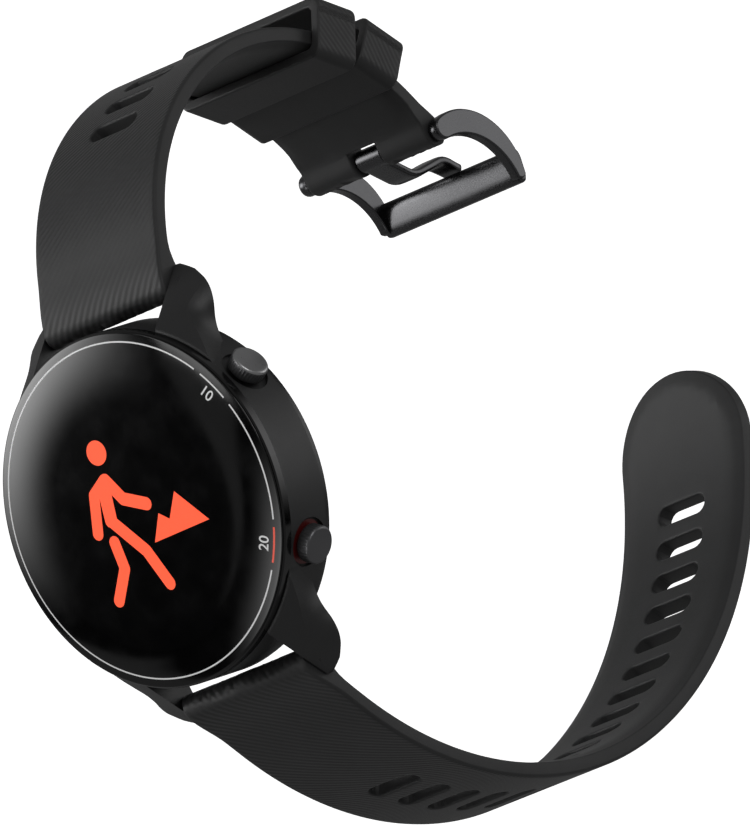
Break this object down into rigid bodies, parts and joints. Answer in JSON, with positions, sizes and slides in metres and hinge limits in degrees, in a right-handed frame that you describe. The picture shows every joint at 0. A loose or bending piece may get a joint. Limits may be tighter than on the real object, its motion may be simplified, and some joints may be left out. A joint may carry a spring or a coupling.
{
  "type": "gps running watch",
  "caption": "Round sports watch with glass display, side push buttons, heart sensor back and two-piece perforated silicone strap with pin buckle and keepers.",
  "frame": {"origin": "centre of the back's flat resting face under the case", "axes": "+Z out of the display, +X towards the push buttons at three o'clock, +Y towards twelve o'clock and the buckle strap"},
  "size_m": [0.046, 0.1048, 0.108],
  "materials": {
    "case_plastic": "fine matte, glass-fibre filled polyamide",
    "bezel_black": "polished black",
    "cover_glass": "clear hard glass over a black dial",
    "adhesive": "black double-sided tape",
    "display": "unlit round panel with a lit walking figure",
    "foam": "open-cell foam",
    "flex": "amber polyimide film",
    "frame_plastic": "moulded",
    "board_green": "solder mask",
    "shield_steel": "tinned sheet",
    "module_ceramic": "matte",
    "battery_foil": "foil pouch",
    "motor_steel": "satin",
    "antenna_copper": "plated strip",
    "cover_plastic": "satin",
    "gasket_silicone": "matte",
    "screw_steel": "blackened",
    "sensor_glass": "dark tinted",
    "sensor_chip": "green and clear dies",
    "contact_gold": "gold plated",
    "key_metal": "black anodised, satin face",
    "clip_steel": "spring steel",
    "seal_silicone": "matte",
    "switch_plastic": "moulded",
    "accent_red": "satin red",
    "strap_silicone": "matte with fine diagonal ribs",
    "bar_steel": "plain",
    "spring_steel": "plain",
    "buckle_metal": "gunmetal, satin bar and polished arms"
  },
  "bodies": {
    "case": {"case_body": "case_plastic", "bezel_ring": "bezel_black", "cover_glass": "cover_glass", "glass_adhesive": "adhesive", "display_panel": "display", "display_cushion": "foam", "display_cable": "flex", "inner_frame": "frame_plastic", "main_board": "board_green", "processor_shield": "shield_steel", "positioning_module": "module_ceramic", "battery": "battery_foil", "vibration_motor": "motor_steel", "antenna_strip": "antenna_copper", "back_cover": "cover_plastic", "back_gasket": "gasket_silicone", "back_screws": "screw_steel", "sensor_window": "sensor_glass", "sensor_board": "board_green", "heart_sensor_chips": "sensor_chip", "charging_contacts": "contact_gold", "sport_accent_ring": "accent_red", "home_button_seal": "seal_silicone", "sport_button_seal": "seal_silicone", "home_switch": "switch_plastic", "sport_switch": "switch_plastic", "upper_bar_tube": "bar_steel", "upper_bar_coil": "spring_steel", "lower_bar_tube": "bar_steel", "lower_bar_coil": "spring_steel"},
    "home_key": {"home_button": "key_metal", "home_button_clip": "clip_steel", "home_switch_plunger": "switch_plastic"},
    "sport_key": {"sport_button": "key_metal", "sport_button_clip": "clip_steel", "sport_switch_plunger": "switch_plastic"},
    "upper_right_tip": {"upper_bar_right_tip": "bar_steel"},
    "upper_left_tip": {"upper_bar_left_tip": "bar_steel"},
    "upper_strap": {"upper_strap": "strap_silicone"},
    "lower_right_tip": {"lower_bar_right_tip": "bar_steel"},
    "lower_left_tip": {"lower_bar_left_tip": "bar_steel"},
    "lower_strap": {"lower_strap": "strap_silicone"},
    "free_keeper": {"free_keeper": "strap_silicone"},
    "buckle_frame": {"buckle_frame": "buckle_metal", "buckle_pin": "buckle_metal"},
    "buckle_tongue": {"buckle_tongue": "buckle_metal"}
  },
  "joints": [
    {"name": "home_button_press", "type": "slide", "parent": "case", "child": "home_key", "axis": [-0.866, -0.5, 0], "range_m": [0, 0.0004], "stiffness_N_per_m": 2500},
    {"name": "sport_button_press", "type": "slide", "parent": "case", "child": "sport_key", "axis": [-0.866, 0.5, 0], "range_m": [0, 0.0004], "stiffness_N_per_m": 2500},
    {"name": "upper_bar_right_tip_slide", "type": "slide", "parent": "case", "child": "upper_right_tip", "axis": [-1, 0, 0], "range_m": [0, 0.0013], "stiffness_N_per_m": 1000, "deforming": ["upper_bar_coil"]},
    {"name": "upper_bar_left_tip_slide", "type": "slide", "parent": "case", "child": "upper_left_tip", "axis": [1, 0, 0], "range_m": [0, 0.0013], "stiffness_N_per_m": 1000},
    {"name": "lower_bar_right_tip_slide", "type": "slide", "parent": "case", "child": "lower_right_tip", "axis": [-1, 0, 0], "range_m": [0, 0.0013], "stiffness_N_per_m": 1000, "deforming": ["lower_bar_coil"]},
    {"name": "lower_bar_left_tip_slide", "type": "slide", "parent": "case", "child": "lower_left_tip", "axis": [1, 0, 0], "range_m": [0, 0.0013], "stiffness_N_per_m": 1000},
    {"name": "upper_strap_swing", "type": "hinge", "parent": "case", "child": "upper_strap", "pos_m": [0, 0.0252, 0.0026], "axis": [1, 0, 0], "range_deg": [-30, 30]},
    {"name": "lower_strap_swing", "type": "hinge", "parent": "case", "child": "lower_strap", "pos_m": [0, -0.0252, 0.0026], "axis": [-1, 0, 0], "range_deg": [-15, 30]},
    {"name": "free_keeper_slide_along_strap", "type": "hinge", "parent": "upper_strap", "child": "free_keeper", "pos_m": [0, 0.02258, -0.02802], "axis": [1, 0, 0], "range_deg": [0, 27]},
    {"name": "buckle_frame_swing", "type": "hinge", "parent": "upper_strap", "child": "buckle_frame", "pos_m": [0, 0.03418, -0.05506], "axis": [1, 0, 0], "range_deg": [-60, 30]},
    {"name": "buckle_tongue_lift", "type": "hinge", "parent": "buckle_frame", "child": "buckle_tongue", "pos_m": [0, 0.03418, -0.05506], "axis": [1, 0, 0], "range_deg": [0, 60]}
  ]
}
